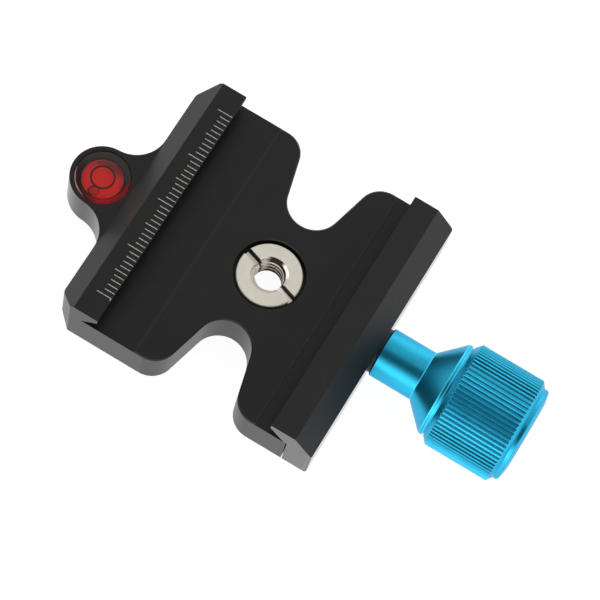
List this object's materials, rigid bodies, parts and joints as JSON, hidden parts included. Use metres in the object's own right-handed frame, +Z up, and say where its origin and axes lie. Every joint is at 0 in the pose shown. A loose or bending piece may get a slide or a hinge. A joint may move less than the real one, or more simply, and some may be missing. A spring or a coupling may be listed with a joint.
{
  "type": "dovetail quick release clamp",
  "caption": "Camera plate clamp: flat bed with a fixed dovetail jaw, a screw-driven sliding jaw, a knurled knob, a threaded bushing and a bullseye level on an ear.",
  "frame": {"origin": "axis of the tripod thread at the underside of the body", "axes": "+X from the fixed jaw to the knob, the way the screw clamps, +Y along the jaws, +Z up towards the camera plate"},
  "size_m": [0.0912, 0.0494, 0.0198],
  "materials": {
    "black_anodised_body": "matte black anodised, bead blasted",
    "black_anodised_jaw": "matte black anodised, bead blasted",
    "blue_anodised": "cyan blue anodised, turned",
    "stud_steel": "plated",
    "washer_nylon": "matte",
    "pin_steel": "ground",
    "spring_steel": "drawn wire",
    "nickel_bushing": "faced, satin",
    "vial_acrylic": "clear red tint",
    "vial_print": "printed",
    "vial_fluid": "clear red",
    "vial_red": "gloss",
    "vial_base_plastic": "matte"
  },
  "bodies": {
    "base": {"clamp_body": "black_anodised_body", "reducer_bushing": "nickel_bushing", "vial_capsule": "vial_acrylic", "vial_ring": "vial_print", "vial_fluid": "vial_fluid", "vial_reflector": "vial_red", "vial_base": "vial_base_plastic", "return_spring_front": "spring_steel", "return_spring_rear": "spring_steel"},
    "jaw": {"moving_jaw": "black_anodised_jaw", "guide_pin_front": "pin_steel", "guide_pin_rear": "pin_steel", "thrust_washer": "washer_nylon"},
    "screw": {"knob": "blue_anodised", "clamp_stud": "stud_steel"}
  },
  "joints": [
    {"name": "jaw_slide", "type": "slide", "parent": "base", "child": "jaw", "axis": [1, 0, 0], "range_m": [-0.0002, 0.006], "deforming": ["return_spring_front", "return_spring_rear"]},
    {"name": "knob_turn", "type": "hinge", "parent": "jaw", "child": "screw", "pos_m": [0.0315, 0, 0.0037], "axis": [1, 0, 0], "range_deg": [-72.1, 2160.1]}
  ],
  "couplings": [
    {"joint": "knob_turn", "follows": "jaw_slide", "rad_per_m": 6283.2}
  ]
}
